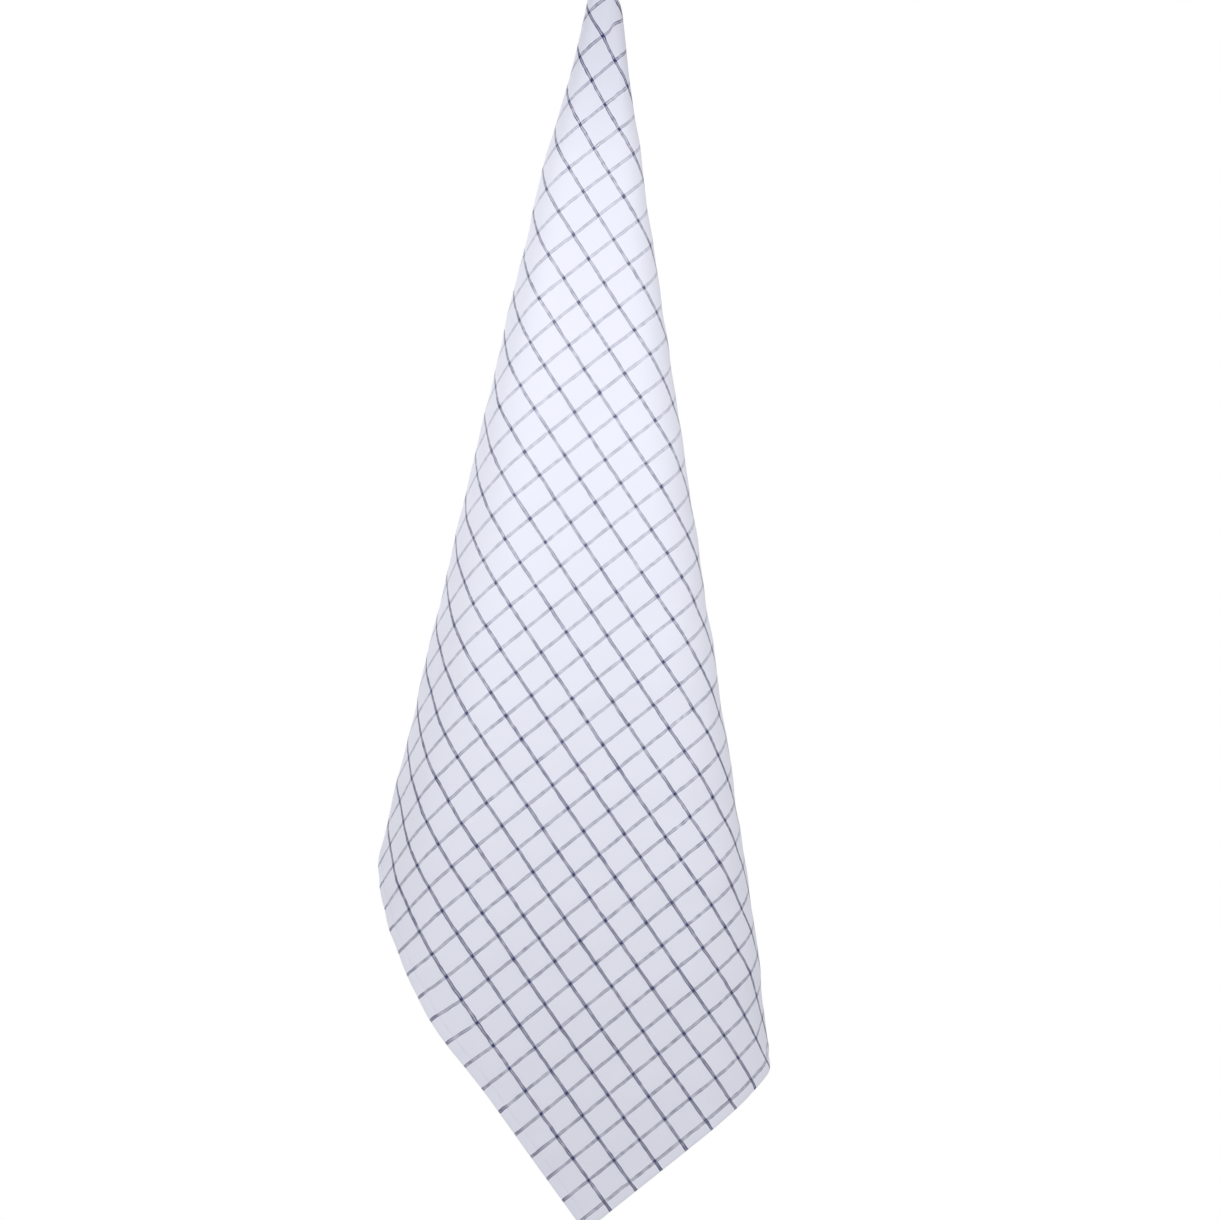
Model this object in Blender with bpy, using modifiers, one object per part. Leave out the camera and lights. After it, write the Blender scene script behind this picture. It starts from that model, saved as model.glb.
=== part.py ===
"""A cotton tea towel hanging by one corner, as one solid sheet.

Cloth held at a corner hangs in straight creases that all start from that corner, so the towel
is a cone: each straight line drawn on the flat cloth from the hanging corner stays straight.
A line is known by its cloth angle, measured at the corner from the long side. Walking across
the cloth from line to line, a table of folds says how much cloth each fold takes and how far
it turns. Metres, +Z up, the hanging corner at the origin, the front facing -Y.
"""

from collections import namedtuple

import bpy
import numpy as np

# The cut cloth
LONG_SIDE = 0.68
SHORT_SIDE = 0.505
CORNER_ANGLE = 85.0  # degrees: hanging on the bias pulls the weave five degrees out of square
THICKNESS = 0.0010

# How it hangs
PLUMB_LINE = 33.8  # cloth angle of the line that hangs straight down in front, degrees
LEAN = 2.5  # degrees that the front leans forward, so that the weight is under the corner
SOFTNESS = 0.6  # degrees of cloth over which one fold passes into the next
LAYER_ROOM = 0.0016  # how far each layer behind is set back from the one before it
ROOM_REACHED = 0.030  # distance from the corner where the layers have all of that room

# The folds, walking from the plumb line round each side to the back:
#   cloth         degrees of cloth that the fold takes
#   turning       degrees that it turns, backwards where positive
#   corner_share  the part of that turning which is there at the very corner
#   formed        distance from the corner where the fold is fully turned
#   layers        how many layers back it leads
Fold = namedtuple("Fold", "name cloth turning corner_share formed layers")

RIGHT_SIDE = [
    Fold("front", 4.5, 0, 1.0, 0.020, 0),
    Fold("roll", 6.9, 100, 0.15, 0.020, 1),
    Fold("tuck", 3.6, 116, 0.15, 0.030, 0),
    Fold("inner flap", 2.7, 0, 1.0, 0.030, 0),
    Fold("trough", 3.8, -98, 0.1, 0.026, 0),
    Fold("slope", 2.3, 0, 1.0, 0.030, 0),
    Fold("crest", 3.8, 112, 0.1, 0.028, 0),
    Fold("second slope", 3.0, 0, 1.0, 0.030, 0),
    Fold("long hem", 3.2, -84, 0.2, 0.024, 0),
]

LEFT_SIDE = [
    Fold("front", 6.8, 0, 1.0, 0.020, 0),
    Fold("shoulder", 6.4, 59, 0.2, 0.026, 1),
    Fold("side", 3.1, 16, 0.2, 0.026, 1),
    Fold("tuck", 4.4, 116, 0.1, 0.040, 0),
    Fold("outer flap", 5.5, -14, 0.1, 0.050, 0),
    Fold("sway", 5.5, 12, 0.1, 0.050, 0),
    Fold("far flap", 6.0, -4, 0.1, 0.050, 0.5),
    Fold("pleat", 3.4, -172, 0.1, 0.060, 0.5),
    Fold("return", 4.2, -24, 0.1, 0.060, 0),
    Fold("short hem", 5.9, 28, 0.1, 0.060, 0),
]

# The cloth's own weight pulls its weave about
PULL_REACH = 0.86  # distance from the corner to the foot
PULL_SIDE = 15.0  # degrees from the plumb line over which the sideways pulls are given
PULL_HELD = (18.0, 12.0)  # full pull this far from the plumb line, then fading, degrees
STRETCH = 0.0044  # the middle hangs this much lower than in unstretched cloth
FOOT_STRETCH = 0.0013  # and the foot this much
TILT = (-0.0051, 0.0204)  # drop of the weave's left side at mid height, and its growth
DRIFT = -0.20  # degrees that the foot's weave turns about the corner
FANNING = (-0.21, 0.33)  # degrees that the left side fans out at mid height, and its growth
# Both ends are held up a little: by how much, round what distance from the corner, and how far
LIFTS = [(0.0014, 0.070, 0.050), (0.0014, 0.883, 0.045)]

# Where the hang departs from a cone
GATHER = 0.08  # the top is drawn in by this share of its width
GATHER_PLACE = (0.098, 0.040)  # distance of its middle from the corner, and its half length
TOP_SWAY = 0.0033  # the gathered top swings this far to the right
TOP_SWAY_RISE = 0.025  # distance from the corner where the swing is greatest
TOP_SWAY_END = 0.220  # and where it has died out
EDGE_BULGE = 0.0046  # the left lower edge stands out this far to the left
EDGE_BULGE_PLACE = (0.510, 0.039)  # how far along the long side, and its half length
EDGE_BULGE_DEPTH = 0.016  # how far in from the edge it dies out
FOOT_CURL = 0.0027  # the right lower corner curls in by this much
FOOT_CURL_PLACE = (0.618, 0.050)  # where it starts along the long side, and how soon it is full
FOOT_CURL_CLOTH = (0.335, 0.020)  # where it starts along the short side, and how soon it is full

# The grid: lines from the corner, closer together in the folds, and rows across them
TURN_PER_LINE = 15.0
CLOTH_PER_LINE = 2.4
CORNER_ROWS = (0.004, 0.008, 0.012, 0.016, 0.020, 0.025, 0.031, 0.038, 0.046, 0.056, 0.068)
LOWER_ROWS = 9
WALK_STEP = 0.1  # degrees of cloth for each step of the walk

# Rows nearer the corner than each distance keep only every so many lines
LINE_STEPS = ((0.006, 4), (0.014, 2))

COTTON_COLOUR = (0.86, 0.87, 0.90, 1.0)
COTTON_ROUGHNESS = 0.9


def smooth_step(value):
    """Zero below 0 and one above 1, with a soft S between."""
    held = np.clip(value, 0.0, 1.0)
    return held * held * (3.0 - 2.0 * held)


def reach_of(angle):
    """Distance along a line, of the given cloth angle, from the corner to the far edge.

    The law of sines in the sheared rectangle, for the far short side or the far long side.
    """
    corner = np.radians(CORNER_ANGLE)
    far_corner = far_corner_angle()
    to_short_side = LONG_SIDE * np.sin(corner) / np.sin(corner - np.minimum(angle, far_corner))
    to_long_side = SHORT_SIDE * np.sin(corner) / np.sin(np.maximum(angle, far_corner))
    return np.where(angle < far_corner, to_short_side, to_long_side)


def far_corner_angle():
    """Cloth angle of the line from the hanging corner to the one opposite."""
    corner = np.radians(CORNER_ANGLE)
    return np.arctan2(SHORT_SIDE * np.sin(corner), LONG_SIDE + SHORT_SIDE * np.cos(corner))


def turning_of_steps(folds, distance):
    """Turning of each walk step at a distance from the corner, softened between folds."""
    counts = [round(fold.cloth / WALK_STEP) for fold in folds]
    rates = []
    for fold, count in zip(folds, counts):
        formed = smooth_step(distance / fold.formed)
        share = fold.corner_share + (1.0 - fold.corner_share) * formed
        rates += [fold.turning * share / count] * count
    width = round(SOFTNESS / WALK_STEP)
    window = np.ones(width) / width
    for _ in range(2):
        padded = np.pad(rates, width, mode="edge")
        rates = np.convolve(padded, window, "same")[width:-width]
    return np.radians(rates)


def layers_of_steps(folds):
    """How many layers back each walk step's end lies."""
    ends = np.cumsum([fold.cloth for fold in folds])
    levels = np.cumsum([fold.layers for fold in folds])
    steps = WALK_STEP * np.arange(round(ends[-1] / WALK_STEP) + 1)
    return np.interp(steps, np.append(0.0, ends), np.append(0.0, levels))


def walk(folds, side, distance):
    """Directions from the corner met while walking over the folds, side +1 right, -1 left.

    The direction, the way ahead and the way back are three square unit vectors. Each step
    turns the way ahead towards the back, then swings the direction one step along it.
    """
    direction = np.array([0.0, 0.0, -1.0])
    ahead = np.array([float(side), 0.0, 0.0])
    back = np.array([0.0, 1.0, 0.0])
    step = np.radians(WALK_STEP)
    met = [direction]
    for turning in turning_of_steps(folds, distance):
        ahead, back = (
            ahead * np.cos(turning) + back * np.sin(turning),
            back * np.cos(turning) - ahead * np.sin(turning),
        )
        direction, ahead = (
            direction * np.cos(step) + ahead * np.sin(step),
            ahead * np.cos(step) - direction * np.sin(step),
        )
        met.append(direction)
    return np.array(met)


def section(distance):
    """Cloth angles, directions and layers of the whole section at a distance."""
    right = walk(RIGHT_SIDE, 1, distance)
    left = walk(LEFT_SIDE, -1, distance)
    first = PLUMB_LINE - WALK_STEP * (len(right) - 1)
    angles = first + WALK_STEP * np.arange(len(right) + len(left) - 1)
    directions = np.vstack([right[::-1], left[1:]])
    layers = np.append(layers_of_steps(RIGHT_SIDE)[::-1], layers_of_steps(LEFT_SIDE)[1:])
    return np.radians(angles), directions, layers


def bell(value, middle, half_width):
    """One at the middle, falling to a third at the half width."""
    return np.exp(-(((value - middle) / half_width) ** 2))


def pulled_about(distances, angles):
    """Distances and angles at which points hang, from their own in unstretched cloth.

    With s the share of the way down and t the share of the way to the left, the distance grows
    by 4 s (1 - s) and s squared stretches and by t s tilts, less the lifts, and the angle by
    2 s - 1 drifts and t fannings. Angles are in degrees.
    """
    down = distances / PULL_REACH
    aside = angles - PLUMB_LINE
    held = smooth_step((sum(PULL_HELD) - abs(aside)) / PULL_HELD[1])
    left = held * aside / PULL_SIDE
    below = 2.0 * down - 1.0
    tilt = TILT[0] + TILT[1] * below / 2
    stretch = 4.0 * down * (1.0 - down) * STRETCH + down * down * FOOT_STRETCH
    lifted = sum(size * bell(distances, *place) for size, *place in LIFTS)
    longer = distances + stretch - lifted + left * down * tilt
    turned = angles + held * below * DRIFT + left * (FANNING[0] + FANNING[1] * below)
    return longer, turned


def row_of_points(angles, distances):
    """Points of the hanging cloth on lines of the given angles, at distances from the corner."""
    v = distances * np.sin(angles) / np.sin(np.radians(CORNER_ANGLE))
    u = distances * np.cos(angles) - v * np.cos(np.radians(CORNER_ANGLE))
    known, directions, layers = section(distances.min())
    distances, turned = pulled_about(distances, np.degrees(angles))
    angles = np.radians(turned)
    along = np.stack([np.interp(angles, known, axis) for axis in directions.T], axis=1)
    points = along * distances[:, None]

    room = LAYER_ROOM * smooth_step(distances / ROOM_REACHED)
    points[:, 1] += room * np.interp(angles, known, layers)

    points[:, 0] *= 1.0 - GATHER * bell(distances, *GATHER_PLACE)
    rise = smooth_step(distances / TOP_SWAY_RISE)
    fall = smooth_step((distances - TOP_SWAY_RISE) / (TOP_SWAY_END - TOP_SWAY_RISE))
    points[:, 0] += TOP_SWAY * rise * (1.0 - fall)
    in_from_edge = bell(v, SHORT_SIDE, EDGE_BULGE_DEPTH)
    points[:, 0] -= EDGE_BULGE * bell(u, *EDGE_BULGE_PLACE) * in_from_edge
    curl = smooth_step((u - FOOT_CURL_PLACE[0]) / FOOT_CURL_PLACE[1])
    curled = smooth_step((FOOT_CURL_CLOTH[0] - v) / FOOT_CURL_CLOTH[1])
    points[:, 0] -= FOOT_CURL * curl * curled

    lean = np.radians(LEAN)
    y, z = points[:, 1].copy(), points[:, 2].copy()
    points[:, 1] = y * np.cos(lean) + z * np.sin(lean)
    points[:, 2] = z * np.cos(lean) - y * np.sin(lean)
    return points


def line_angles():
    """Cloth angles of the grid's lines, with one through the far corner."""
    lines = [PLUMB_LINE]
    for folds, side in ((RIGHT_SIDE, -1.0), (LEFT_SIDE, 1.0)):
        at = PLUMB_LINE
        for fold in folds:
            wanted = max(abs(fold.turning) / TURN_PER_LINE, fold.cloth / CLOTH_PER_LINE)
            count = int(np.ceil(wanted))
            lines += [at + side * fold.cloth * (n + 1) / count for n in range(count)]
            at += side * fold.cloth
    lines = np.radians(np.sort(lines))
    nearest = np.argmin(np.abs(lines - far_corner_angle()))
    lines[nearest] = far_corner_angle()
    return lines


def lines_kept(distance, count):
    """Indices of the lines that a row keeps: fewer near the corner, where they crowd."""
    step = next((step for limit, step in LINE_STEPS if distance < limit), 1)
    kept = list(range(0, count, step))
    return kept if kept[-1] == count - 1 else kept + [count - 1]


def cloth_surface():
    """Vertices and faces of the towel's middle surface."""
    angles = line_angles()
    reach = reach_of(angles)
    count = len(angles)
    last = CORNER_ROWS[-1]
    rows = [np.full(count, distance) for distance in CORNER_ROWS]
    rows += [last + (reach - last) * (n + 1) / LOWER_ROWS for n in range(LOWER_ROWS)]

    vertices = [(0.0, 0.0, 0.0)]
    numbered = []
    for distances in rows:
        kept = lines_kept(distances.min(), count)
        points = row_of_points(angles, distances)[kept]
        numbered.append({line: len(vertices) + n for n, line in enumerate(kept)})
        vertices += [tuple(point) for point in points]

    top = list(numbered[0].values())
    faces = [(0, top[n], top[n + 1]) for n in range(len(top) - 1)]
    for upper, lower in zip(numbered, numbered[1:]):
        kept = list(upper)
        for here, there in zip(kept, kept[1:]):
            below = [lower[line] for line in range(here, there + 1) if line in lower]
            faces.append((upper[there], upper[here], *below))
    return vertices, faces


def cotton():
    """The white cotton of the whole towel."""
    material = bpy.data.materials.new("white cotton")
    material.use_nodes = True
    shader = material.node_tree.nodes["Principled BSDF"]
    shader.inputs["Base Color"].default_value = COTTON_COLOUR
    shader.inputs["Roughness"].default_value = COTTON_ROUGHNESS
    shader.inputs["Metallic"].default_value = 0.0
    return material


def towel(collection):
    """The sheet: the middle surface, given its thickness by Solidify."""
    vertices, faces = cloth_surface()
    mesh = bpy.data.meshes.new("towel")
    mesh.from_pydata(vertices, [], faces)
    mesh.materials.append(cotton())
    mesh.shade_smooth()
    sheet = bpy.data.objects.new("towel", mesh)
    collection.objects.link(sheet)
    thicken = sheet.modifiers.new("cloth thickness", "SOLIDIFY")
    thicken.thickness = THICKNESS
    thicken.offset = 0.0
    return sheet


def clear_scene():
    """Remove the objects of the opening scene."""
    for leftover in list(bpy.data.objects):
        bpy.data.objects.remove(leftover, do_unlink=True)


def build():
    """Make the towel in a collection of its own."""
    clear_scene()
    collection = bpy.data.collections.new("tea towel")
    bpy.context.scene.collection.children.link(collection)
    towel(collection)


build()
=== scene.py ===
"""The tea towel as it looks: its woven cloth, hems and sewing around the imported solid.

Metres, +Z up. The hanging corner is at the origin and the front faces -Y.
"""

from collections import namedtuple

import bpy
import numpy as np
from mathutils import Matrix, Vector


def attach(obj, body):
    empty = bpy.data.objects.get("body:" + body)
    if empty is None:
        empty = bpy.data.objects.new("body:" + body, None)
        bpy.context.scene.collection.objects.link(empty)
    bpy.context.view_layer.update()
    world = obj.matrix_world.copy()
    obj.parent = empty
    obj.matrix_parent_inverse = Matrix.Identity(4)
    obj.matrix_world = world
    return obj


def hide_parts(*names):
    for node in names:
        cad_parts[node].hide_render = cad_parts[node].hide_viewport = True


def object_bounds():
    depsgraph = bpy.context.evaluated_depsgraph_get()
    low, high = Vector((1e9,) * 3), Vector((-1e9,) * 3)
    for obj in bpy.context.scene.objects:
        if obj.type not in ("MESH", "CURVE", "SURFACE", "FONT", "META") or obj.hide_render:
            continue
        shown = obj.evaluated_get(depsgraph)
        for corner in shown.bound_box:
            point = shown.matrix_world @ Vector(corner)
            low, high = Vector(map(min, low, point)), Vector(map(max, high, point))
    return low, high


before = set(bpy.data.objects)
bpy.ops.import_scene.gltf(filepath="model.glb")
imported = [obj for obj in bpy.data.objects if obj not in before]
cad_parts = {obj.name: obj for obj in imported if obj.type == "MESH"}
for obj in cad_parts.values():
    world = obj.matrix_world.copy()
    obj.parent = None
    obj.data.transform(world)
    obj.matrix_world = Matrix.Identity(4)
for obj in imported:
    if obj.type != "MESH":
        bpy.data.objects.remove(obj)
cad_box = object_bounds()
scene = bpy.context.scene
scene.view_settings.view_transform = "Standard"  # colours come out as they are given


# The camera: a long lens far in front of the towel, level and square to it. The hanging corner
# lies a little above the picture's top edge.
PICTURE_SIDE = 1220.0  # pixels
PIXELS_PER_METRE = 1493.0  # on the upright plane through the hanging corner
CORNER_PIXEL = (603.5, -88.6)
CAMERA_DISTANCE = 5.0
SENSOR_WIDTH = 36.0  # millimetres
NEAREST_SEEN = 0.1
FARTHEST_SEEN = 100.0

camera = bpy.data.objects.new("camera", bpy.data.cameras.new("camera"))
scene.collection.objects.link(camera)
scene.camera = camera
camera.location = (
    (PICTURE_SIDE / 2 - CORNER_PIXEL[0]) / PIXELS_PER_METRE,
    -CAMERA_DISTANCE,
    (CORNER_PIXEL[1] - PICTURE_SIDE / 2) / PIXELS_PER_METRE,
)
camera.rotation_euler = (np.pi / 2, 0.0, 0.0)
camera.data.sensor_width = SENSOR_WIDTH
camera.data.lens = SENSOR_WIDTH * CAMERA_DISTANCE * PIXELS_PER_METRE / PICTURE_SIDE
camera.data.clip_start = NEAREST_SEEN
camera.data.clip_end = FARTHEST_SEEN


# The cloth: one panel of plain woven cotton, its four edges turned twice to the back and sewn
# down. It hangs by a corner, so its creases are straight lines from that corner, and both sides
# roll round to the back.
LONG_SIDE = 0.68
SHORT_SIDE = 0.505
CORNER_ANGLE = np.radians(85.0)  # hanging on the bias pulls the weave five degrees out of square

PLUMB_LINE = 33.8  # cloth angle of the line that hangs straight down in front, degrees
LEAN = np.radians(2.5)  # how far the front leans forward
SOFTNESS = 0.6  # degrees of cloth over which one fold passes into the next
WALK_STEP = 0.1  # degrees of cloth for each step of the walk over the folds
LAYER_ROOM = 0.0016  # how far each layer behind is set back from the one before it
ROOM_REACHED = 0.030  # distance from the corner where the layers have all of that room

# The folds of the solid, walking from the plumb line round each side to the back: the degrees
# of cloth that each takes, the degrees that it turns backwards, the share of that turning at
# the very corner, the distance from the corner where it is fully turned, and its layers back
Fold = namedtuple("Fold", "name cloth turning corner_share formed layers")

RIGHT_SIDE = [
    Fold("front", 4.5, 0, 1.0, 0.020, 0),
    Fold("roll", 6.9, 100, 0.15, 0.020, 1),
    Fold("tuck", 3.6, 116, 0.15, 0.030, 0),
    Fold("inner flap", 2.7, 0, 1.0, 0.030, 0),
    Fold("trough", 3.8, -98, 0.1, 0.026, 0),
    Fold("slope", 2.3, 0, 1.0, 0.030, 0),
    Fold("crest", 3.8, 112, 0.1, 0.028, 0),
    Fold("second slope", 3.0, 0, 1.0, 0.030, 0),
    Fold("long hem", 3.2, -84, 0.2, 0.024, 0),
]

LEFT_SIDE = [
    Fold("front", 6.8, 0, 1.0, 0.020, 0),
    Fold("shoulder", 6.4, 59, 0.2, 0.026, 1),
    Fold("side", 3.1, 16, 0.2, 0.026, 1),
    Fold("tuck", 4.4, 116, 0.1, 0.040, 0),
    Fold("outer flap", 5.5, -14, 0.1, 0.050, 0),
    Fold("sway", 5.5, 12, 0.1, 0.050, 0),
    Fold("far flap", 6.0, -4, 0.1, 0.050, 0.5),
    Fold("pleat", 3.4, -172, 0.1, 0.060, 0.5),
    Fold("return", 4.2, -24, 0.1, 0.060, 0),
    Fold("short hem", 5.9, 28, 0.1, 0.060, 0),
]

# Its own weight pulls the weave about: longer downwards, and unevenly from side to side
PULL_REACH = 0.86  # distance from the corner to the foot
PULL_SIDE = 15.0  # degrees from the plumb line over which the sideways pulls are given
PULL_HELD = (18.0, 12.0)  # full pull this far from the plumb line, then fading, degrees
STRETCH = 0.0044  # the middle hangs this much lower than in unstretched cloth
FOOT_STRETCH = 0.0013  # and the foot this much
TILT = (-0.0051, 0.0204)  # drop of the weave's left side at mid height, and its growth downwards
DRIFT = -0.20  # degrees that the foot's weave turns about the corner; the top's turns the other way
FANNING = (-0.21, 0.33)  # degrees that the left side fans out at mid height, and its growth
# Both ends are held up a little: by how much, round what distance from the corner, and how far
LIFTS = [(0.0014, 0.070, 0.050), (0.0014, 0.883, 0.045)]

GATHER = 0.08  # the top is drawn in by this share of its width
GATHER_PLACE = (0.098, 0.040)  # distance of its middle from the corner, and its half length
TOP_SWAY = 0.0033  # the gathered top swings this far to the right
TOP_SWAY_RISE = 0.025  # distance from the corner where the swing is greatest
TOP_SWAY_END = 0.220  # and where it has died out
SHOULDER = 0.0036  # the top's right edge is drawn in by this much
SHOULDER_PLACE = (0.052, 0.009)  # round this distance from the corner, and its half length
SHOULDER_WIDTH = 0.014  # it comes on from the middle to this far right of it
EDGE_BULGE = 0.0046  # the left lower edge stands out this far to the left
EDGE_BULGE_PLACE = (0.510, 0.039)  # how far along the long side, and its half length
EDGE_BULGE_DEPTH = 0.016  # how far in from the edge it dies out
FOOT_CURL = 0.0027  # the right lower corner curls in by this much
FOOT_CURL_PLACE = (0.618, 0.050)  # where it starts along the long side, and how soon it is full
FOOT_CURL_CLOTH = (0.335, 0.020)  # where it starts along the short side, and how soon it is full

# A small pinch just right of the plumb line, near the top
PINCH = 1.45  # degrees by which the cloth beside it is drawn towards it
PINCH_CLOTH = (32.1, 2.8)  # cloth angle of its crease, and how far to its fullest pull, degrees
PINCH_PLACE = (0.050, 0.018, 0.079, 0.008)  # starts, is full after, holds to, then dies out over
PINCH_RIDGE = 0.0010  # the crease stands forward
SLIP = 2.3  # degrees by which the cloth right of it slips round to the back
SLIP_PLACE = (0.050, 0.020)  # round this distance from the corner, and its half length

TABLE_END = 0.060  # past this distance from the corner every fold is fully turned
TABLE_COLUMNS = 31
TABLE_DISTANCES = np.linspace(0.0, TABLE_END, TABLE_COLUMNS)
ROW_HELD = 0.001  # a place past the table's last row is held this much short of it
COLUMN_HELD = 0.00001  # and past its last column, by this share of them all


def smooth_step(value):
    """Zero below 0, one above 1, and between them the value squared times 3 less twice it."""
    held = np.clip(value, 0.0, 1.0)
    return held * held * (3.0 - 2.0 * held)


def turning_table(folds):
    """Turning of each walk step (rows) at each table distance (columns), in radians.

    A fold's turning is shared out evenly over its steps, times the share of it that is there
    at that distance. Two running means over the softness then blend each fold into the next.
    """
    counts = [round(fold.cloth / WALK_STEP) for fold in folds]
    rates = [
        fold.turning / count * (fold.corner_share + (1.0 - fold.corner_share)
                                * smooth_step(TABLE_DISTANCES / fold.formed))
        for fold, count in zip(folds, counts)
    ]
    table = np.repeat(np.array(rates), counts, axis=0)
    width = round(SOFTNESS / WALK_STEP)
    window = np.ones(width) / width
    for _ in range(2):
        padded = np.pad(table, ((width, width), (0, 0)), mode="edge")
        table = np.apply_along_axis(np.convolve, 0, padded, window, "same")[width:-width]
    return np.radians(table)


def layer_column(folds):
    """How many layers back each walk step's end lies."""
    ends = np.cumsum([fold.cloth for fold in folds])
    levels = np.cumsum([fold.layers for fold in folds])
    steps = WALK_STEP * np.arange(round(ends[-1] / WALK_STEP) + 1)
    return np.interp(steps, np.append(0.0, ends), np.append(0.0, levels))


def walk(folds, side):
    """Directions from the corner met on the walk, side +1 right, -1 left, at every distance.

    The direction, the way ahead and the way back are three square unit vectors. Each step
    turns the way ahead towards the back, then swings the direction one step along it.
    """
    direction = np.tile([0.0, 0.0, -1.0], (TABLE_COLUMNS, 1))
    ahead = np.tile([float(side), 0.0, 0.0], (TABLE_COLUMNS, 1))
    back = np.tile([0.0, 1.0, 0.0], (TABLE_COLUMNS, 1))
    step = np.radians(WALK_STEP)
    met = [direction]
    for turning in turning_table(folds)[:, :, None]:
        ahead, back = (
            ahead * np.cos(turning) + back * np.sin(turning),
            back * np.cos(turning) - ahead * np.sin(turning),
        )
        direction, ahead = (
            direction * np.cos(step) + ahead * np.sin(step),
            ahead * np.cos(step) - direction * np.sin(step),
        )
        met.append(direction)
    return np.array(met)


right_walk = walk(RIGHT_SIDE, 1)
direction_table = np.concatenate([right_walk[::-1], walk(LEFT_SIDE, -1)[1:]])
layer_table = np.append(layer_column(RIGHT_SIDE)[::-1], layer_column(LEFT_SIDE)[1:])
first_angle = PLUMB_LINE - WALK_STEP * (len(right_walk) - 1)


def direction_at(angle, distance):
    """The table's direction at a cloth angle in degrees and a distance, blended both ways."""
    last_row = len(direction_table) - 1
    row = np.clip((angle - first_angle) / WALK_STEP, 0.0, last_row - ROW_HELD)
    column = np.clip(distance / TABLE_END, 0.0, 1.0 - COLUMN_HELD) * (TABLE_COLUMNS - 1)
    above = row.astype(int)
    before = column.astype(int)
    down = (row - above)[..., None]
    out = (column - before)[..., None]
    upper = direction_table[above, before] * (1 - out) + direction_table[above, before + 1] * out
    below = above + 1
    lower = direction_table[below, before] * (1 - out) + direction_table[below, before + 1] * out
    return upper * (1 - down) + lower * down


def bell(value, middle, half_width):
    """One at the middle, falling as e to the minus square of the half widths away from it."""
    return np.exp(-(((value - middle) / half_width) ** 2))


def pulled_about(distance, angle):
    """Distance and angle at which a point hangs, from its own in unstretched cloth.

    With s the share of the way down and t the share of the way to the left, the distance grows
    by 4 s (1 - s) and s squared stretches and by t s tilts, less the lifts, and the angle by
    2 s - 1 drifts and t fannings.
    """
    down = distance / PULL_REACH
    aside = angle - PLUMB_LINE
    held = smooth_step((sum(PULL_HELD) - abs(aside)) / PULL_HELD[1])
    left = held * aside / PULL_SIDE
    below = 2.0 * down - 1.0
    tilt = TILT[0] + TILT[1] * below / 2
    stretch = 4.0 * down * (1.0 - down) * STRETCH + down * down * FOOT_STRETCH
    lifted = sum(size * bell(distance, *place) for size, *place in LIFTS)
    longer = distance + stretch - lifted + left * down * tilt
    turned = angle + held * below * DRIFT + left * (FANNING[0] + FANNING[1] * below)
    return longer, turned


def pinched(distance, angle):
    """How much of the pinch there is at each distance, and the angles that it turns cloth by.

    At x half widths from the crease the cloth is turned towards it by x exp((1 - x squared) / 2)
    of the pinch, which has its peak at x = 1. Right of the crease it also slips to the right,
    fully from x = 1.
    """
    start, full, hold, fade = PINCH_PLACE
    strength = smooth_step((distance - start) / full)
    strength = strength * np.exp(-np.maximum(distance - hold, 0.0) / fade)
    crease, width = PINCH_CLOTH
    off = (angle - crease) / width
    slipped = SLIP * bell(distance, *SLIP_PLACE) * smooth_step(-off)
    return strength, -PINCH * strength * off * np.exp((1.0 - off**2) / 2) - slipped


def hanging_point(u, v):
    """Where the flat cloth's point hangs: u along the long side, v along the short side.

    In the sheared weave the point lies u + v cos(c) along and v sin(c) across, which gives its
    distance and angle from the corner. Pulled about and pinched, it hangs at that distance in
    the direction of its angle, set back by its layers, gathered, swayed and drawn in at the
    top, bulged at the left edge, curled in at the right foot, and leant forward.
    """
    along = u + v * np.cos(CORNER_ANGLE)
    across = v * np.sin(CORNER_ANGLE)
    flat_angle = np.degrees(np.arctan2(across, along))
    distance, angle = pulled_about(np.hypot(along, across), flat_angle)
    pinch, pinch_turn = pinched(distance, angle)
    angle = angle + pinch_turn
    point = direction_at(angle, distance) * distance[..., None]

    steps = first_angle + WALK_STEP * np.arange(len(layer_table))
    room = LAYER_ROOM * smooth_step(distance / ROOM_REACHED)
    point[..., 1] += room * np.interp(angle, steps, layer_table)

    point[..., 1] -= PINCH_RIDGE * pinch * bell(angle, *PINCH_CLOTH)

    point[..., 0] *= 1.0 - GATHER * bell(distance, *GATHER_PLACE)
    rise = smooth_step(distance / TOP_SWAY_RISE)
    fall = smooth_step((distance - TOP_SWAY_RISE) / (TOP_SWAY_END - TOP_SWAY_RISE))
    point[..., 0] += TOP_SWAY * rise * (1.0 - fall)
    drawn_in = SHOULDER * bell(distance, *SHOULDER_PLACE)
    point[..., 0] -= drawn_in * smooth_step(point[..., 0] / SHOULDER_WIDTH)
    in_from_edge = bell(v, SHORT_SIDE, EDGE_BULGE_DEPTH)
    point[..., 0] -= EDGE_BULGE * bell(u, *EDGE_BULGE_PLACE) * in_from_edge
    curl = smooth_step((u - FOOT_CURL_PLACE[0]) / FOOT_CURL_PLACE[1])
    curled = smooth_step((FOOT_CURL_CLOTH[0] - v) / FOOT_CURL_CLOTH[1])
    point[..., 0] -= FOOT_CURL * curl * curled

    y, z = point[..., 1].copy(), point[..., 2].copy()
    point[..., 1] = y * np.cos(LEAN) + z * np.sin(LEAN)
    point[..., 2] = z * np.cos(LEAN) - y * np.sin(LEAN)
    return point


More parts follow.
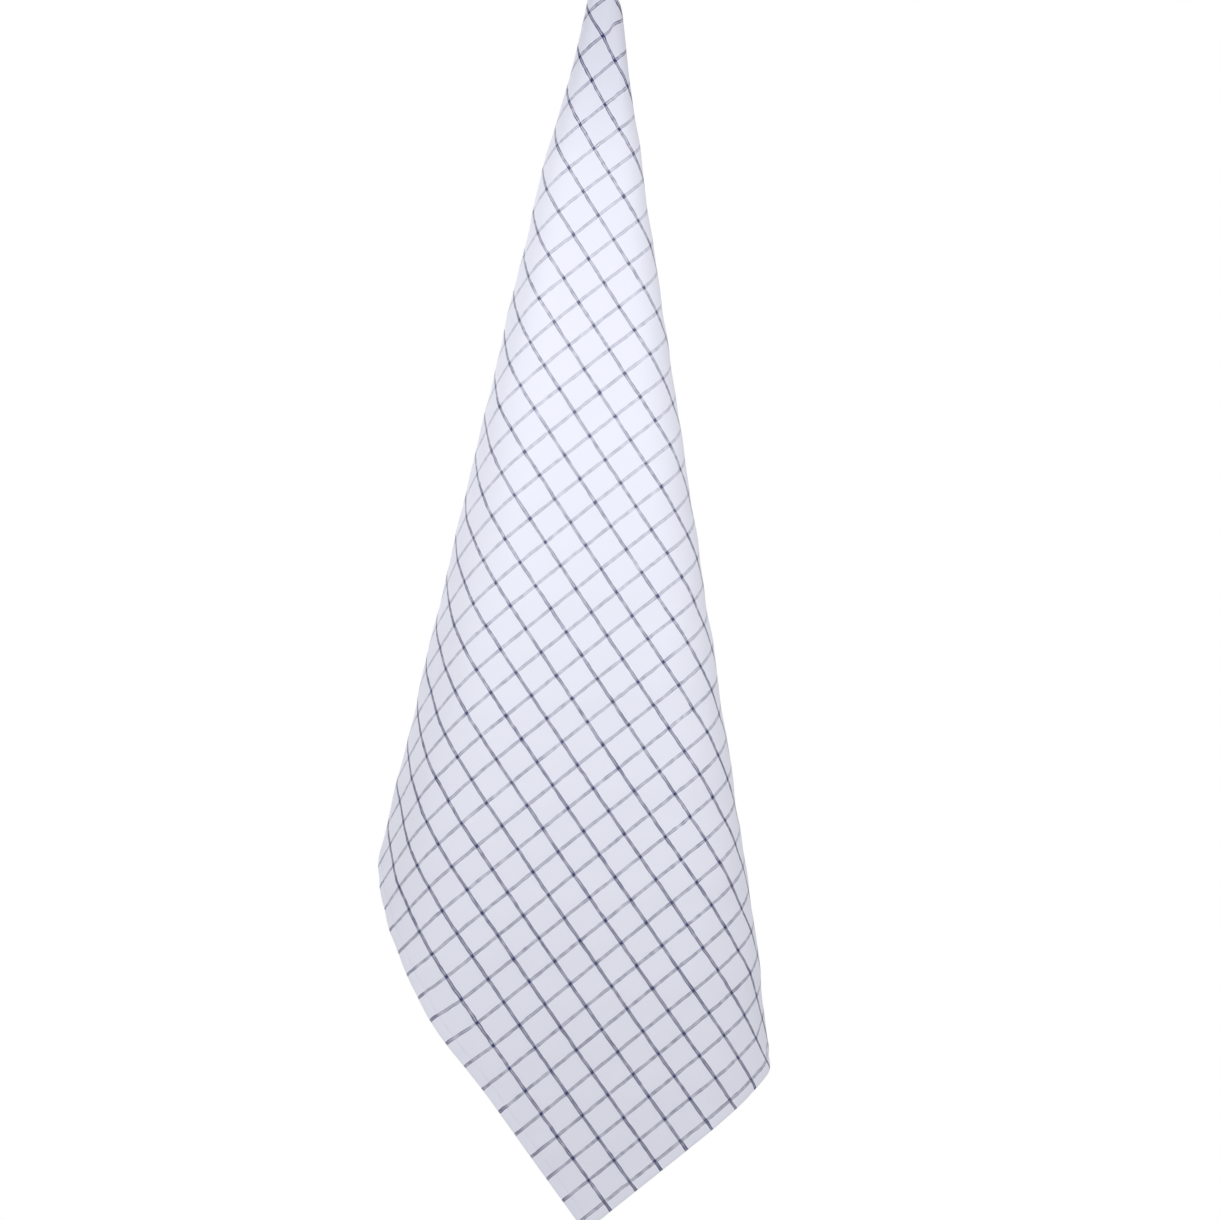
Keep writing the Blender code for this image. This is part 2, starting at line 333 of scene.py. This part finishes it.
# The hems, seen from the back as a flat band with a folded inner edge, and from the front as a
# faint swelling that the sewing draws in
CLOTH_THICKNESS = 0.0005
LONG_EDGE_HEM = 0.0066  # width of the hems that run along the long sides
SHORT_EDGE_HEM = 0.0078
SEWN_FROM_FOLD = 0.0009  # the sewing runs this far from the hem's inner fold
HEM_BACK = 0.0008  # two more layers behind
HEM_SWELLING = 0.00018
SEWING_GROOVE = 0.00016
GROOVE_HALF_WIDTH = 0.0007
FOLD_DROP = 0.0004  # width of the inner fold's step
HEM_FORMED = 0.045  # nearer the hanging corner than this the hems are pressed thinner

# The grid over the flat cloth: its spacing near the hanging corner, its spacing farther on, and
# the distance over which one passes into the other, along each side
LONG_SPACING = (0.0013, 0.0037, 0.16)
SHORT_SPACING = (0.0012, 0.0035, 0.13)
HEM_LINES = (0.0, 0.12, 0.4, 0.7)  # grid lines on a hem, as shares of the way to its sewing
SPACING_SAMPLES = 2000


def edge_distances(u, v):
    """Distance of each point from the nearest short edge and from the nearest long edge."""
    return np.minimum(u, LONG_SIDE - u), np.minimum(v, SHORT_SIDE - v)


def hem_back(distance, width):
    """Height of a hem's band behind: full to its width, with a soft step down to nothing."""
    return HEM_BACK * (1.0 - smooth_step((distance - width + FOLD_DROP) / FOLD_DROP))


def hem_front(distance, width):
    """Height of a hem's front: half a sine wave from edge to sewing, less a bell on the sewing."""
    sewing = width - SEWN_FROM_FOLD
    arch = HEM_SWELLING * np.sin(np.pi * np.clip(distance / sewing, 0.0, 1.0))
    return arch - SEWING_GROOVE * bell(distance, sewing, GROOVE_HALF_WIDTH)


def faces_heights(u, v):
    """Heights of the front and back faces over the cloth's middle surface.

    Each is half the thickness and the hem's height on its side, less near the hanging corner.
    """
    short_edge, long_edge = edge_distances(u, v)
    formed = smooth_step(np.hypot(u, v) / HEM_FORMED)
    behind = [hem_back(short_edge, SHORT_EDGE_HEM), hem_back(long_edge, LONG_EDGE_HEM)]
    ahead = hem_front(short_edge, SHORT_EDGE_HEM) + hem_front(long_edge, LONG_EDGE_HEM)
    half = CLOTH_THICKNESS / 2
    return half + formed * ahead, half + formed * np.maximum(*behind)


def lines_across(length, hem, fine, coarse, fine_end):
    """Grid lines over one side: close on both hems, fine near the corner, then coarser.

    The spacing grows smoothly from fine to coarse over the distance fine_end, and the lines
    are where the running total of lines per metre passes each whole number.
    """
    sewing = hem - SEWN_FROM_FOLD
    band = np.append(np.multiply(HEM_LINES, sewing), [
        sewing - GROOVE_HALF_WIDTH, sewing,
        hem - FOLD_DROP, hem - FOLD_DROP / 2, hem, hem + FOLD_DROP,
    ])
    start, end = band[-1], length - band[-1]
    places = np.linspace(start, end, SPACING_SAMPLES)
    spacing = fine + (coarse - fine) * smooth_step((places - start) / fine_end)
    passed = np.append(0.0, np.cumsum(np.diff(places) / spacing[1:]))
    count = round(passed[-1])
    middle = np.interp(np.linspace(0.0, passed[-1], count + 1), passed, places)
    return np.concatenate([band[:-1], middle, (length - band[:-1])[::-1]])


u_lines = lines_across(LONG_SIDE, SHORT_EDGE_HEM, *LONG_SPACING)
v_lines = lines_across(SHORT_SIDE, LONG_EDGE_HEM, *SHORT_SPACING)
u_grid, v_grid = np.meshgrid(u_lines, v_lines, indexing="ij")


# Low waves along each hem, where the sewing has drawn it in: height, length and start of each
PUCKERS = [(0.00028, 0.0310, 0.4), (0.00016, 0.0137, 2.1), (0.00020, 0.0830, 4.0)]
PUCKERS_DEEP = 0.012  # how far in they reach
FAR_LONG_START, FAR_SHORT_START = 1.0, 2.0  # the two far hems' waves start this much later
# Soft hollows and swellings of the open cloth: height, lengths along and across, and start
HOLLOWS = [
    (0.00030, 0.071, 0.190, 0.3), (0.00022, -0.052, 0.083, 2.0), (0.00018, 0.037, 0.064, 4.4),
    (0.00024, 0.130, -0.058, 5.2), (0.00012, 0.026, -0.041, 1.1),
]
UNEVEN_FROM = (0.06, 0.10)  # all start this far from the hanging corner, and grow over this far


def unevenness(u, v):
    """Height of the cloth over its smooth hang: waves along the hems, and crossed soft waves.

    A pucker is its height times the sine of the way along its edge, fading inwards in a bell. A
    hollow is its height times the sine of the summed shares of its lengths both ways.
    """
    height = np.zeros_like(u)
    short_edge, long_edge = edge_distances(u, v)
    for size, length, start in PUCKERS:
        far_long = FAR_LONG_START * (v > SHORT_SIDE / 2)
        far_short = FAR_SHORT_START * (u > LONG_SIDE / 2)
        beside_long = np.sin(2 * np.pi * u / length + start + far_long)
        beside_short = np.sin(2 * np.pi * v / length + start + far_short)
        height += size * beside_long * bell(long_edge, LONG_EDGE_HEM, PUCKERS_DEEP)
        height += size * beside_short * bell(short_edge, SHORT_EDGE_HEM, PUCKERS_DEEP)
    for size, along, across, start in HOLLOWS:
        height += size * np.sin(2 * np.pi * (u / along + v / across) + start)
    start, growth = UNEVEN_FROM
    return height * smooth_step((np.hypot(u, v) - start) / growth)


NORMAL_STEP = 0.0001
NORMAL_LEAST = 1e-15  # a normal's length counts as no less, so nothing is divided by zero


def cloth_point(u, v, height):
    """The point a height in front of the hanging cloth's middle surface.

    The normal is the cross product of the surface's differences over a small step each way.
    """
    here = hanging_point(u, v)
    across = hanging_point(u, v + NORMAL_STEP) - here
    along = hanging_point(u + NORMAL_STEP, v) - here
    normal = np.cross(across, along)
    normal /= np.maximum(np.linalg.norm(normal, axis=-1, keepdims=True), NORMAL_LEAST)
    return here + normal * (height + unevenness(u, v))[..., None]


front_height, back_height = faces_heights(u_grid, v_grid)
front_points = cloth_point(u_grid, v_grid, front_height)
back_points = cloth_point(u_grid, v_grid, -back_height)


def rim_order(rows, columns):
    """Row and column of each grid point on the rim, once round."""
    i = np.concatenate([
        np.arange(rows - 1), np.full(columns - 1, rows - 1),
        np.arange(rows - 1, 0, -1), np.zeros(columns - 1, int),
    ])
    j = np.concatenate([
        np.zeros(rows - 1, int), np.arange(columns - 1),
        np.full(rows - 1, columns - 1), np.arange(columns - 1, 0, -1),
    ])
    return i, j


def rounded_rim(front, back, rounds):
    """Rings of points that close the rim between both faces in a half round.

    Ring t of the way round lies at the faces' middle, plus half their gap times cos(t) towards
    the front and sin(t) away from the cloth.
    """
    rows, columns = front.shape[:2]
    i, j = rim_order(rows, columns)
    inner_i, inner_j = np.clip(i, 1, rows - 2), np.clip(j, 1, columns - 2)
    centre = (front[i, j] + back[i, j]) / 2
    to_front = (front[i, j] - back[i, j]) / 2
    outward = front[i, j] - front[inner_i, inner_j]
    outward /= np.linalg.norm(outward, axis=-1, keepdims=True)
    outward *= np.linalg.norm(to_front, axis=-1, keepdims=True)
    turns = np.pi * np.arange(1, rounds) / rounds
    return [centre + to_front * np.cos(turn) + outward * np.sin(turn) for turn in turns]


def grid_quads(rows, columns, first):
    """Corners of a grid's quads, with its points numbered from first.

    Each quad goes along the rows' way first and then along the columns', and so faces back.
    """
    corner = first + np.arange((rows - 1) * columns).reshape(rows - 1, columns)[:, :-1]
    quads = np.stack([corner, corner + columns, corner + columns + 1, corner + 1], -1)
    return quads.reshape(-1, 4)


def mesh_of(name, points, quads):
    """A smooth mesh of quads from whole arrays."""
    mesh = bpy.data.meshes.new(name)
    mesh.vertices.add(len(points))
    mesh.vertices.foreach_set("co", points.astype(np.float32).ravel())
    mesh.loops.add(quads.size)
    mesh.loops.foreach_set("vertex_index", quads.astype(np.int32).ravel())
    mesh.polygons.add(len(quads))
    mesh.polygons.foreach_set("loop_start", np.arange(0, quads.size, 4, dtype=np.int32))
    mesh.update(calc_edges=True)
    mesh.validate()
    mesh.shade_smooth()
    return mesh


def set_map(mesh, name, flat):
    """Give the mesh a UV map, from one pair of coordinates for each of its points."""
    layer = mesh.uv_layers.new(name=name)
    order = np.empty(len(mesh.loops), np.int32)
    mesh.loops.foreach_get("vertex_index", order)
    layer.data.foreach_set("uv", flat[order].astype(np.float32).ravel())


RIM_ROUNDS = 4  # strips of quads round the rim, from face to face
rows, columns = u_grid.shape
face_size = rows * columns
rim_i, rim_j = rim_order(rows, columns)
rim_size = len(rim_i)
rim_rings = rounded_rim(front_points, back_points, RIM_ROUNDS)
flat = np.stack([u_grid, v_grid], -1).reshape(-1, 2)
rim_flat = np.stack([u_grid[rim_i, rim_j], v_grid[rim_i, rim_j]], -1)

points = np.concatenate([front_points.reshape(-1, 3), back_points.reshape(-1, 3), *rim_rings])
cloth_flat = np.concatenate([flat, flat] + [rim_flat] * len(rim_rings))
front_quads = grid_quads(rows, columns, 0)[:, ::-1]
back_quads = grid_quads(rows, columns, face_size)
rim_on_front = rim_i * columns + rim_j
ring_starts = 2 * face_size + rim_size * np.arange(len(rim_rings))
ring_numbers = [start + np.arange(rim_size) for start in ring_starts]
rim_numbers = [rim_on_front, *ring_numbers, face_size + rim_on_front]
rim_quads = [
    np.stack([here, np.roll(here, -1), np.roll(there, -1), there], -1)
    for here, there in zip(rim_numbers, rim_numbers[1:])
]

quads = np.concatenate([front_quads, back_quads, *rim_quads])
cloth_mesh = mesh_of("tea_towel_cloth", points, quads)
set_map(cloth_mesh, "flat_cloth", cloth_flat)
cloth = bpy.data.objects.new("tea_towel_cloth", cloth_mesh)
scene.collection.objects.link(cloth)


# A Mix node's own numbers for its factor, its two colours, and the colour that comes out
MIX_FACTOR, MIX_PLAIN, MIX_OTHER, MIX_RESULT = 0, 6, 7, 2


class Wire:
    """A socket in a material's nodes. Arithmetic on it adds the Math nodes that work it out."""

    def __init__(self, tree, socket=None):
        self.tree = tree
        self.socket = socket

    def node(self, kind, settings=(), inputs=(), output=0):
        """Add a node: its settings, then its sockets by name or number, as values or wires."""
        made = self.tree.nodes.new(kind)
        for name, value in dict(settings).items():
            setattr(made, name, value)
        for name, value in dict(inputs).items():
            if isinstance(value, Wire):
                self.tree.links.new(value.socket, made.inputs[name])
            else:
                made.inputs[name].default_value = value
        return Wire(self.tree, made.outputs[output])

    def math(self, operation, *values):
        """A Math node on this wire and other values."""
        inputs = dict(enumerate((self, *values)))
        return self.node("ShaderNodeMath", {"operation": operation}, inputs)

    def __add__(self, other):
        return self.math("ADD", other)

    def __sub__(self, other):
        return self.math("SUBTRACT", other)

    def __mul__(self, other):
        return self.math("MULTIPLY", other)

    def __truediv__(self, other):
        return self.math("DIVIDE", other)

    def __neg__(self):
        return self.math("MULTIPLY", -1.0)

    def __radd__(self, other):
        return self.math("ADD", other)

    def __rmul__(self, other):
        return self.math("MULTIPLY", other)

    def __rsub__(self, other):
        return (-self).math("ADD", other)

    def __abs__(self):
        return self.math("ABSOLUTE")

    def sine(self):
        return self.math("SINE")

    def least(self, other):
        return self.math("MINIMUM", other)

    def most(self, other):
        return self.math("MAXIMUM", other)

    def below(self, edge, softness):
        """One where the wire is under the edge, fading to zero over the softness past it."""
        inputs = {"Value": self, "From Min": edge, "From Max": edge + softness,
                  "To Min": 1.0, "To Max": 0.0}
        return self.node("ShaderNodeMapRange", {"interpolation_type": "SMOOTHSTEP"}, inputs)

    def mixed(self, plain, other):
        """One colour passing into another as the wire goes from zero to one."""
        inputs = {MIX_FACTOR: self, MIX_PLAIN: plain, MIX_OTHER: other}
        return self.node("ShaderNodeMix", {"data_type": "RGBA"}, inputs, MIX_RESULT)

    def feed(self, shader, name):
        """Lead the wire into a shader's socket."""
        self.tree.links.new(self.socket, shader.inputs[name])


def plain_material(name, finish):
    """A new material with a finish that is the same all over, its nodes, and its shader."""
    material = bpy.data.materials.new(name)
    material.use_nodes = True
    tree = material.node_tree
    shader = tree.nodes["Principled BSDF"]
    for socket, value in finish.items():
        shader.inputs[socket].default_value = value
    return material, Wire(tree), shader


def map_axes(wire, name):
    """Wires of the first and second coordinate of a UV map."""
    place = wire.node("ShaderNodeUVMap", {"uv_map": name})
    return [wire.node("ShaderNodeSeparateXYZ", (), {"Vector": place}, axis) for axis in "XY"]


YARN_PITCH = 0.0006  # from one yarn to the next, both ways
YARN_CHANGE = 0.5  # how softly one yarn passes under the other
WEAVE_RELIEF = 0.00010  # how far a yarn's crown stands over the gaps beside it
WHITE_YARN = (0.80, 0.812, 0.918, 1.0)
# the darker yarn colour, for slubs and mottle and for the painted shade in the gaps between yarns
TONED_AND_SHADED_YARN = (0.70, 0.711, 0.802, 1.0)
BLUE_YARN = (0.020, 0.026, 0.118, 1.0)
COTTON_FINISH = {"Roughness": 0.9, "Sheen Weight": 0.15, "Sheen Roughness": 0.5}  # faintly fuzzy

# The check: its first dark line from the edge, its spacing, and its last line's number, for the
# lines along the cloth and for those across it
WARP_LINES = (0.0067, 0.021665, 22)
WEFT_LINES = (0.00776, 0.018478, 36)
LINE_YARN_OFFSET = 0.00060  # each line is two dark yarns, this far either side of its middle
LINE_YARN_HALF = 0.00042  # half the width of one
YARN_CORE, YARN_FADE = 0.6, 0.8  # shares of that: dark out to the first, then fading over the next
LINE_WANDER, WANDER_SCALE = 0.0005, 14.0  # each line strays slowly from its place
LINE_WAVER, WAVER_SCALE = 0.0015, 210.0  # and wavers on the way

# How dark the lines read through the white yarns that cross them
WARP_COVER = 0.80
WEFT_COVER = 0.505
HEM_COVER = 0.25  # added on the hems, where the same line lies threefold
UNDER_COVER, OVER_COVER = 0.7, 1.3  # shares of it where the dark yarn lies under and on top
CROSSING_COVER = 0.6  # added where two lines cross, and no white yarn shows
PATCH_LENGTHS, PATCH_WIDTHS = 250.0, 30.0  # paler and darker stretches of a line, per metre
PATCH_DEPTH = 2.1  # by how much the darkest stretches differ from the palest
COVER_TOP, COVER_GROWTH = 0.74, 0.51  # painted veil of light: the lines read paler near the top, darker towards the foot
COVER_GROWS = (0.30, 0.43)  # from this distance from the corner, growing over this far
CORNER_SHADED = (0.065, 0.107)  # painted shade: the corner reads darker, fading from here over this far
# the white yarns' colour under the painted shade at the corner
PAINTED_CORNER_SHADE_YARN = (0.655, 0.663, 0.764, 1.0)
CORNER_COVER = 0.75  # and the painted shade darkens its lines by this share
# The lines along the cloth also read darker where it turns away at each side of the front: by
# what share, between which cloth angles in degrees, and over how many it fades
TURNED_COVERS = [(0.50, 47.2, 51.0, 3.2), (0.38, 22.0, 24.7, 2.5)]

# The white yarns' shades: slubs, which are thicker stretches of single yarns, and a cloudy
# unevenness of the whole cloth, with how much each shades it
SLUB_LENGTHS, SLUB_WIDTHS = 60.0, 900.0  # per metre
SLUB_SHADE = 0.4
SLUB_RELIEF = 0.5  # share of a yarn's height
MOTTLE_SCALE, MOTTLE_DETAIL = 9.0, 4.0
MOTTLE_SHADE = 0.5
SHADE_START = 0.3  # shade up to this much doesn't show
SHADE_DEPTH = 0.35
GAP_SHADE = 0.8  # painted shade in the gaps between yarns
BUMP_STRENGTH = 0.5  # share of the relief that shows

cotton, wire, shader = plain_material("checked_cotton", COTTON_FINISH)
u, v = map_axes(wire, "flat_cloth")


def noise(vector, scale=1.0, detail=2.0):
    """Soft noise from 0 to 1 on a vector."""
    inputs = {"Vector": vector, "Scale": scale, "Detail": detail}
    return vector.node("ShaderNodeTexNoise", {"noise_dimensions": "3D"}, inputs)


def stretched(along_u, along_v, layer):
    """The flat cloth's coordinates, stretched each way, on a layer of their own."""
    inputs = {"X": u * along_u, "Y": v * along_v, "Z": layer}
    return u.node("ShaderNodeCombineXYZ", (), inputs)


def strayed(place, layer):
    """The place across the lines, moved about by a slow noise and a quick one."""
    at = stretched(1.0, 1.0, layer)
    wander = (noise(at, WANDER_SCALE) - 0.5) * LINE_WANDER
    return place + wander + (noise(at, WAVER_SCALE) - 0.5) * LINE_WAVER


def line_mask(place, lines):
    """Masks of the dark yarns and of the whole lines, from the place across them.

    A place is so many spacings past the first line, and its distance from the nearest whole
    number of them says how far it is off a line. A yarn lies so far off on either side.
    """
    first, spacing, last = lines
    turns = (place - first) / spacing
    off = abs(turns - turns.math("ROUND").least(last)) * spacing
    off_yarn = abs(off - LINE_YARN_OFFSET)
    yarns = off_yarn.below(LINE_YARN_HALF * YARN_CORE, LINE_YARN_HALF * YARN_FADE)
    whole = off.below(LINE_YARN_OFFSET, LINE_YARN_HALF)
    return yarns, whole


def patches(along_u, along_v, layer):
    """A factor round one: more where a line reads darker, and less where it reads paler."""
    return 1.0 + PATCH_DEPTH * (noise(stretched(along_u, along_v, layer)) - 0.5)


warp_line, warp_band = line_mask(strayed(v, layer=3.0), WARP_LINES)
weft_line, weft_band = line_mask(strayed(u, layer=0.0), WEFT_LINES)

# The plain weave: each yarn is a row of half waves. The warp lies on top where its wave and the
# weft's differ in sign, and the weft where they agree
warp_wave = (v * (np.pi / YARN_PITCH)).sine()
weft_wave = (u * (np.pi / YARN_PITCH)).sine()
crossing = warp_wave * weft_wave
warp_on_top = crossing.below(-YARN_CHANGE / 2, YARN_CHANGE)
warp_round = abs(warp_wave)
weft_round = abs(weft_wave)

short_edge = u.least(LONG_SIDE - u)
long_edge = v.least(SHORT_SIDE - v)
on_short_hem = short_edge.below(SHORT_EDGE_HEM - FOLD_DROP, FOLD_DROP)
on_long_hem = long_edge.below(LONG_EDGE_HEM - FOLD_DROP, FOLD_DROP)

from_corner = (u * u + v * v).math("SQRT")
# Painted veil of light: the lines read paler near the top, fading out down the cloth
painted_veil_faded = 1.0 - from_corner.below(*COVER_GROWS)
# Painted shade at the corner, on the white yarns and on the lines
corner_shade = from_corner.below(*CORNER_SHADED)
cover = (COVER_TOP + COVER_GROWTH * painted_veil_faded) * (1.0 + CORNER_COVER * corner_shade)
warp_patches = patches(PATCH_LENGTHS, PATCH_WIDTHS, layer=2.0)
weft_patches = patches(PATCH_WIDTHS, PATCH_LENGTHS, layer=7.0)
warp_cover = (WARP_COVER + HEM_COVER * on_short_hem) * warp_patches
weft_cover = (WEFT_COVER + HEM_COVER * on_long_hem) * weft_patches
across = v * np.sin(CORNER_ANGLE)
cloth_angle = across.math("ARCTAN2", u + v * np.cos(CORNER_ANGLE)) * np.degrees(1.0)
for share, start, end, fade in TURNED_COVERS:
    turned = cloth_angle.below(end, fade) * (1.0 - cloth_angle.below(start - fade, fade))
    warp_cover = warp_cover * (1.0 + share * turned)
gained_on_top = OVER_COVER - UNDER_COVER
warp_dark = warp_line * warp_cover * (UNDER_COVER + gained_on_top * warp_on_top)
weft_dark = weft_line * weft_cover * (OVER_COVER - gained_on_top * warp_on_top)
crossed = warp_band * weft_band * CROSSING_COVER * cover
dark = ((warp_dark + weft_dark + crossed) * cover).least(1.0)

warp_slubs = noise(stretched(SLUB_LENGTHS, SLUB_WIDTHS, layer=0.0))
weft_slubs = noise(stretched(SLUB_WIDTHS, SLUB_LENGTHS, layer=5.0))
slubs = warp_slubs + weft_slubs
mottle = noise(stretched(1.0, 1.0, layer=9.0), MOTTLE_SCALE, MOTTLE_DETAIL)
shade = slubs * SLUB_SHADE + mottle * MOTTLE_SHADE - SHADE_START
# Painted shade in the gaps between the yarns, added to the slubs' and mottle's tones
painted_gap_shade = (1.0 - warp_round.most(weft_round)) * GAP_SHADE
tone_and_gap_shade = (shade * SHADE_DEPTH + painted_gap_shade).least(1.0).most(0.0)

# Painted shade at the corner, over the yarns' tones and the painted shade in their gaps
white = corner_shade.mixed(tone_and_gap_shade.mixed(WHITE_YARN, TONED_AND_SHADED_YARN), PAINTED_CORNER_SHADE_YARN)
colour = dark.mixed(white, BLUE_YARN)
relief = warp_round * warp_on_top + weft_round * (1.0 - warp_on_top)
height = relief + slubs * SLUB_RELIEF
bump = height.node("ShaderNodeBump", (), {
    "Strength": BUMP_STRENGTH, "Distance": WEAVE_RELIEF, "Height": height,
})
colour.feed(shader, "Base Color")
bump.feed(shader, "Normal")
cloth_mesh.materials.append(cotton)

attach(cloth, "root")
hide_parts("towel")


# The sewing of the hems: one row of lockstitches in white thread along the inner fold of each
# hem, with a stitch on each face, every stitch drawn into the cloth at both ends.
STITCH_PITCH = 0.0030
STITCH_SHARE = 0.90  # of the pitch that the thread lies on the cloth
BACK_START = 0.5  # pitches by which the stitches behind come later
THREAD_RADIUS = 0.00016
THREAD_TAPER = 0.2  # the share of its radius that it loses at a stitch's ends
THREAD_LIFT = 0.55  # radii by which a stitch's middle lies over the cloth
STITCH_RINGS = 5
STITCH_SIDES = 5
STITCH_SINK = 0.00022  # the ends go in this deep
STITCH_SCATTER = 0.00007  # how far a stitch strays from its row
SCATTER_SEED = 7
THREAD_WHITE = (0.84, 0.85, 0.92, 1.0)
THREAD_SHADED = (0.62, 0.63, 0.72, 1.0)
THREAD_FINISH = {"Roughness": 0.7}
THREAD_TWIST = 3200.0  # turns of the thread's ply, per metre
THREAD_RELIEF = 0.00004


def stitch_starts(length):
    """Where the stitches start along a hem of this length."""
    count = int(length / STITCH_PITCH) - 1
    spare = (length - count * STITCH_PITCH) / 2
    return spare + STITCH_PITCH * np.arange(count)


def stitch_rows():
    """Where each stitch starts on the flat cloth, u and v, and whether it runs along u."""
    from_long = LONG_EDGE_HEM - SEWN_FROM_FOLD
    from_short = SHORT_EDGE_HEM - SEWN_FROM_FOLD
    rows = []
    for across in (from_long, SHORT_SIDE - from_long):
        starts = stitch_starts(LONG_SIDE)
        rows.append([starts, np.full_like(starts, across), np.ones_like(starts)])
    for along in (from_short, LONG_SIDE - from_short):
        starts = stitch_starts(SHORT_SIDE)
        rows.append([np.full_like(starts, along), starts, np.zeros_like(starts)])
    u, v, runs_along = np.concatenate(rows, axis=1)
    return u, v, runs_along.astype(bool)


start_u, start_v, runs_along_u = stitch_rows()


def stitches(face):
    """Points of every stitch on one face, +1 front, -1 back: stitch, ring, side, coordinate.

    A stitch is a thin round tube. Over its length t from 0 to 1 its middle rises over the face
    by the lift less the sink times (2t - 1) to the fourth, and its radius is less by the taper
    times the same.
    """
    scatter = np.random.default_rng(SCATTER_SEED + face).normal(
        0.0, STITCH_SCATTER, (len(start_u), 2),
    )
    t = np.linspace(0.0, 1.0, STITCH_RINGS)
    turn = 2 * np.pi * np.arange(STITCH_SIDES) / STITCH_SIDES
    way = (t * STITCH_SHARE + (face < 0) * BACK_START) * STITCH_PITCH
    ends = (2 * t - 1) ** 4
    radius = THREAD_RADIUS * (1.0 - THREAD_TAPER * ends)
    rise = THREAD_RADIUS * THREAD_LIFT - STITCH_SINK * ends
    forward = np.broadcast_to(way[:, None], (STITCH_RINGS, STITCH_SIDES))
    sideways = radius[:, None] * np.cos(turn)
    upward = rise[:, None] + radius[:, None] * np.sin(turn)
    stray_start, stray_end = scatter.T[:, :, None, None]
    stray = stray_start * (1 - t[:, None]) + stray_end * t[:, None]
    along_u = runs_along_u[:, None, None]
    u = start_u[:, None, None] + np.where(along_u, forward, sideways + stray)
    v = start_v[:, None, None] + np.where(along_u, sideways + stray, forward)
    front, back = faces_heights(u, v)
    height = face * (np.where(face > 0, front, back) + upward)
    return cloth_point(u, v, height)


def tube_quads(mirrored, rings, sides):
    """Corners of the quads of many like tubes, each numbered ring by ring.

    The quads of a mirrored tube are turned round, so that they face outwards too.
    """
    ring, side = np.meshgrid(np.arange(rings - 1), np.arange(sides), indexing="ij")
    here = ring * sides + side
    beside = ring * sides + (side + 1) % sides
    one = np.stack([here, beside, beside + sides, here + sides], -1).reshape(-1, 4)
    quads = one + rings * sides * np.arange(len(mirrored))[:, None, None]
    quads[mirrored] = quads[mirrored][..., ::-1]
    return quads.reshape(-1, 4)


thread_points = np.concatenate([stitches(1), stitches(-1)])
mirrored = np.concatenate([runs_along_u, ~runs_along_u])
thread_quads = tube_quads(mirrored, STITCH_RINGS, STITCH_SIDES)
sewing_mesh = mesh_of("hem_sewing", thread_points.reshape(-1, 3), thread_quads)
ring_places = np.linspace(0.0, STITCH_PITCH, STITCH_RINGS)
side_places = np.linspace(0.0, 1.0, STITCH_SIDES)
one_map = np.stack(np.meshgrid(ring_places, side_places, indexing="ij"), -1).reshape(-1, 2)
set_map(sewing_mesh, "thread_length", np.tile(one_map, (len(thread_points), 1)))
sewing = bpy.data.objects.new("hem_sewing", sewing_mesh)
scene.collection.objects.link(sewing)

thread, wire, shader = plain_material("white_thread", THREAD_FINISH)
along_thread, round_thread = map_axes(wire, "thread_length")
ply = ((along_thread * THREAD_TWIST + round_thread) * (2 * np.pi)).sine() * 0.5 + 0.5
ply.mixed(THREAD_SHADED, THREAD_WHITE).feed(shader, "Base Color")
thread_bump = ply.node("ShaderNodeBump", (), {"Distance": THREAD_RELIEF, "Height": ply})
thread_bump.feed(shader, "Normal")
sewing_mesh.materials.append(thread)

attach(sewing, "root")


# The stage: a pale floor below, a white surround, a wide soft light close in front of the
# towel's upper half, a small one to its left, and one behind it.
FLOOR_HEIGHT = -1.05
FLOOR_HALF = 2.0
FLOOR_FINISH = {"Base Color": (0.85, 0.85, 0.84, 1.0), "Roughness": 0.8}
SURROUND_COLOUR = (1.0, 1.0, 1.0, 1.0)
SURROUND_LIGHT = 0.70  # the share of what the camera sees of it that lights the towel
# Each light's name, place, width and height, and power
SOFT_LIGHTS = [
    ("key_light", (0.03, -0.52, -0.285), (1.3, 0.4), 2.15),
    ("side_light", (-0.42, -0.25, -0.15), (0.3, 0.3), 0.30),
    ("back_light", (-0.5, 1.1, 0.1), (0.8, 0.8), 6.0),
]

floor_mesh = bpy.data.meshes.new("floor")
floor_corners = [
    (x * FLOOR_HALF, y * FLOOR_HALF, FLOOR_HEIGHT) for x, y in ((-1, -1), (1, -1), (1, 1), (-1, 1))
]
floor_mesh.from_pydata(floor_corners, [], [(0, 1, 2, 3)])
floor = bpy.data.objects.new("floor", floor_mesh)
scene.collection.objects.link(floor)
floor_material, _, _ = plain_material("pale_floor", FLOOR_FINISH)
floor_mesh.materials.append(floor_material)

world = bpy.data.worlds.new("studio")
scene.world = world
world.use_nodes = True
background = world.node_tree.nodes["Background"]
background.inputs["Color"].default_value = SURROUND_COLOUR
seen = Wire(world.node_tree).node("ShaderNodeLightPath", output="Is Camera Ray")
strength = seen * (1.0 - SURROUND_LIGHT) + SURROUND_LIGHT
strength.feed(background, "Strength")

towel_middle = (cad_box[0] + cad_box[1]) / 2


def soft_light(name, place, size, power):
    """An area light that faces the middle of the towel, level, and isn't seen itself."""
    light = bpy.data.objects.new(name, bpy.data.lights.new(name, "AREA"))
    light.visible_camera = False
    scene.collection.objects.link(light)
    light.data.shape = "RECTANGLE"
    light.data.size, light.data.size_y = size
    light.data.energy = power
    light.location = place
    toward = towel_middle - light.location
    toward.z = 0.0
    light.rotation_euler = toward.to_track_quat("-Z", "Y").to_euler()


for light in SOFT_LIGHTS:
    soft_light(*light)
